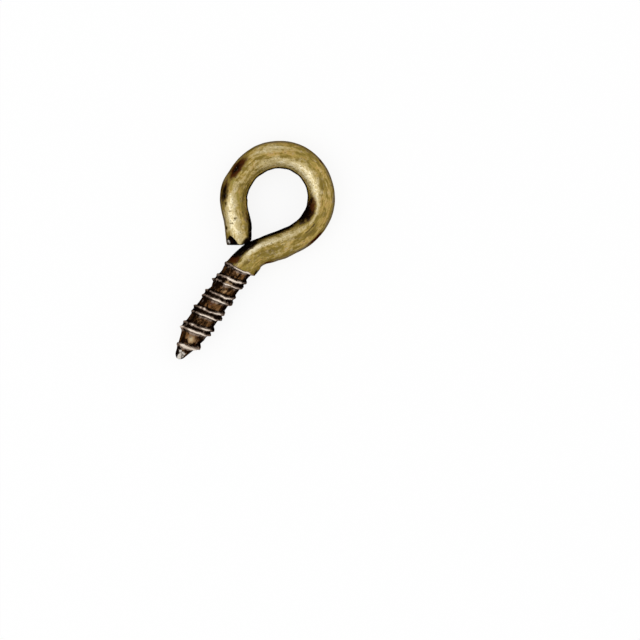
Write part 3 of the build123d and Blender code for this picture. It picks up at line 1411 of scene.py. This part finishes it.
        mesh = bpy.data.meshes.new("screw_eye_wire")
        mesh.vertices.add(len(points))
        mesh.vertices.foreach_set("co", points.astype(np.float32).ravel())
        corners = np.concatenate([quads.ravel(), fans.ravel()]).astype(np.int32)
        sizes = np.concatenate([np.full(len(quads), 4), np.full(len(fans), 3)])
        mesh.loops.add(len(corners))
        mesh.loops.foreach_set("vertex_index", corners)
        mesh.polygons.add(len(sizes))
        mesh.polygons.foreach_set("loop_start", (np.cumsum(sizes) - sizes).astype(np.int32))
        mesh.polygons.foreach_set("use_smooth", np.ones(len(sizes), bool))
        for name, values in masks.items():
            self.keep_mask(mesh, name, values)
        mesh.update(calc_edges=True)
        mesh.validate()
        mesh.materials.append(metal)

        piece = bpy.data.objects.new("screw_eye_wire", mesh)
        bpy.context.scene.collection.objects.link(piece)
        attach(piece, BODY)
        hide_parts(NODE)
        log.info("%s: %d faces", piece.name, len(mesh.polygons))
        return piece


# ---------------------------------------------------------------------------------------
# Studio
# ---------------------------------------------------------------------------------------


@dataclass(frozen=True)
class Softbox:
    """A soft lamp that faces the part.

    Attributes:
        name: Its name.
        bearing: Degrees round the part, from +X towards +Y.
        height: Degrees above the floor.
        distance: Millimetres from the part.
        size: Millimetres across.
        radiance: How bright its face is, where 1 is white.
    """

    name: str
    bearing: float
    height: float
    distance: float
    size: float
    radiance: float

    def build(self) -> bpy.types.Object:
        """Hangs the lamp. Its power is radiance * area * pi, for a square of its size."""
        lamp = bpy.data.lights.new(self.name, "AREA")
        lamp.shape = "SQUARE"
        lamp.size = self.size * MM
        lamp.energy = self.radiance * lamp.size**2 * math.pi
        hung = bpy.data.objects.new(self.name, lamp)
        bpy.context.scene.collection.objects.link(hung)
        bearing, height = math.radians(self.bearing), math.radians(self.height)
        level = math.cos(height)
        away = Vector((math.cos(bearing) * level, math.sin(bearing) * level, math.sin(height)))
        hung.location = away * self.distance * MM
        hung.rotation_euler = away.to_track_quat("Z", "Y").to_euler()
        hung.visible_camera = False
        return hung


@dataclass
class Studio:
    """Pale floor, white surroundings, two soft lamps and a camera that looks straight down.

    Attributes:
        floor_size: Side of the floor, in millimetres.
        floor_colour: Its colour.
        floor_lift: White that is added to it where it is seen directly.
        around: Brightness of the surroundings as light.
        lamps: The soft lamps.
        view_width: Millimetres that the view takes in.
        view_middle: Where the camera looks, in millimetres.
        view_turn: Degrees from +X to the view's right edge.
        lens, sensor: The camera's, in millimetres.
        clip: Least and greatest distance that the camera sees, in metres.
    """

    floor_size: float = 3000.0
    floor_colour: str = "#707070"
    floor_lift: float = 0.86
    around: float = 0.72
    lamps: tuple[Softbox, ...] = (
        Softbox("key_softbox", -35.0, 52.0, 420.0, 260.0, 1.1),
        Softbox("fill_softbox", 150.0, 40.0, 420.0, 220.0, 0.5),
    )
    view_width: float = 46.2
    view_middle: tuple[float, float, float] = (0.725, 7.557, 1.155)
    view_turn: float = 124.94
    lens: float = 300.0
    sensor: float = 36.0
    clip: tuple[float, float] = (0.01, 10.0)

    def seen_directly(self, tree: bpy.types.NodeTree) -> bpy.types.NodeSocket:
        """1 for rays from the camera, from metal and through glass, and 0 for light."""
        ray = add(tree, "ShaderNodeLightPath")
        seen = ray.outputs["Is Camera Ray"]
        for name in ("Is Glossy Ray", "Is Transmission Ray"):
            links = {0: seen, 1: ray.outputs[name]}
            seen = add(tree, "ShaderNodeMath", {"operation": "MAXIMUM"}, links).outputs[0]
        return seen

    def surroundings(self) -> None:
        """White to the eye and in the metal, and a plain even light otherwise."""
        world = bpy.data.worlds.new("white_surroundings")
        bpy.context.scene.world = world
        world.use_nodes = True
        tree = world.node_tree
        tree.nodes.clear()
        strength = add(
            tree,
            "ShaderNodeMapRange",
            {"To Min": self.around, "To Max": 1.0},
            {"Value": self.seen_directly(tree)},
        )
        light = add(
            tree,
            "ShaderNodeBackground",
            {"Color": (1.0, 1.0, 1.0, 1.0)},
            {"Strength": strength.outputs["Result"]},
        )
        add(tree, "ShaderNodeOutputWorld", {}, {"Surface": light.outputs["Background"]})

    def floor(self) -> None:
        """A level sheet under the part, matt and near white, which keeps the part's shadow."""
        paper = bpy.data.materials.new("pale_paper_floor")
        paper.use_nodes = True
        tree = paper.node_tree
        tree.nodes.clear()
        matt = add(tree, "ShaderNodeBsdfDiffuse", {"Color": linear(self.floor_colour)})
        lift = add(
            tree,
            "ShaderNodeMath",
            {"operation": "MULTIPLY", 1: self.floor_lift},
            {0: self.seen_directly(tree)},
        )
        glow = add(
            tree, "ShaderNodeEmission", {"Color": (1.0, 1.0, 1.0, 1.0)}, {"Strength": lift.outputs[0]}
        )
        both = add(tree, "ShaderNodeAddShader", {}, {0: matt.outputs[0], 1: glow.outputs[0]})
        add(tree, "ShaderNodeOutputMaterial", {}, {"Surface": both.outputs[0]})
        half = self.floor_size / 2 * MM
        corners = [(x * half, y * half, 0.0) for x, y in ((-1, -1), (1, -1), (1, 1), (-1, 1))]
        mesh = bpy.data.meshes.new("floor")
        mesh.from_pydata(corners, [], [(0, 1, 2, 3)])
        mesh.materials.append(paper)
        sheet = bpy.data.objects.new("floor", mesh)
        bpy.context.scene.collection.objects.link(sheet)

    def camera(self) -> None:
        """Hangs the camera over the part. Its distance is width * lens / sensor."""
        made = bpy.data.cameras.new("camera")
        made.type = "PERSP"
        made.lens = self.lens
        made.sensor_width = self.sensor
        made.clip_start, made.clip_end = self.clip
        made.dof.use_dof = False
        hung = bpy.data.objects.new("camera", made)
        bpy.context.scene.collection.objects.link(hung)
        x, y, z = self.view_middle
        distance = self.view_width * self.lens / self.sensor
        turn = Matrix.Rotation(math.radians(self.view_turn), 4, "Z")
        hung.matrix_world = Matrix.Translation(Vector((x, y, z + distance)) * MM) @ turn
        bpy.context.scene.camera = hung

    def build(self) -> None:
        """Sets up the whole studio."""
        self.surroundings()
        self.floor()
        for lamp in self.lamps:
            lamp.build()
        self.camera()
        bpy.context.scene.view_settings.view_transform = "Standard"
        log.info("studio: floor, surroundings, camera and %d lamps", len(self.lamps))


def shank_line() -> tuple[float, float]:
    """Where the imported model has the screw's point, and the height of its shank's axis.

    Returns:
        x of the node's far end, and z of the shank's mount, in millimetres.
    """
    mounts = {mount["name"]: mount for mount in frame["record"]["mounts"]}
    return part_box(NODE)[1].x / MM, mounts[SHANK_MOUNT]["pos_m"][2] / MM


def main() -> None:
    """Builds the screw eye and its studio, and reports each."""
    logging.basicConfig(level=logging.INFO, format="%(name)s: %(message)s")
    metal = AntiqueBrass().material()
    tip, level = shank_line()
    path = WirePath(tip, level)
    log.info("wire: %.1f mm long, its axis %.3f mm up", path.length, level)
    ScrewEye(path, WireGirth(), RolledThread(), GimletPoint(), ShearedEnd(), WearAndPaintedLight()).build(metal)
    Studio().build()


if __name__ == "__main__":
    main()
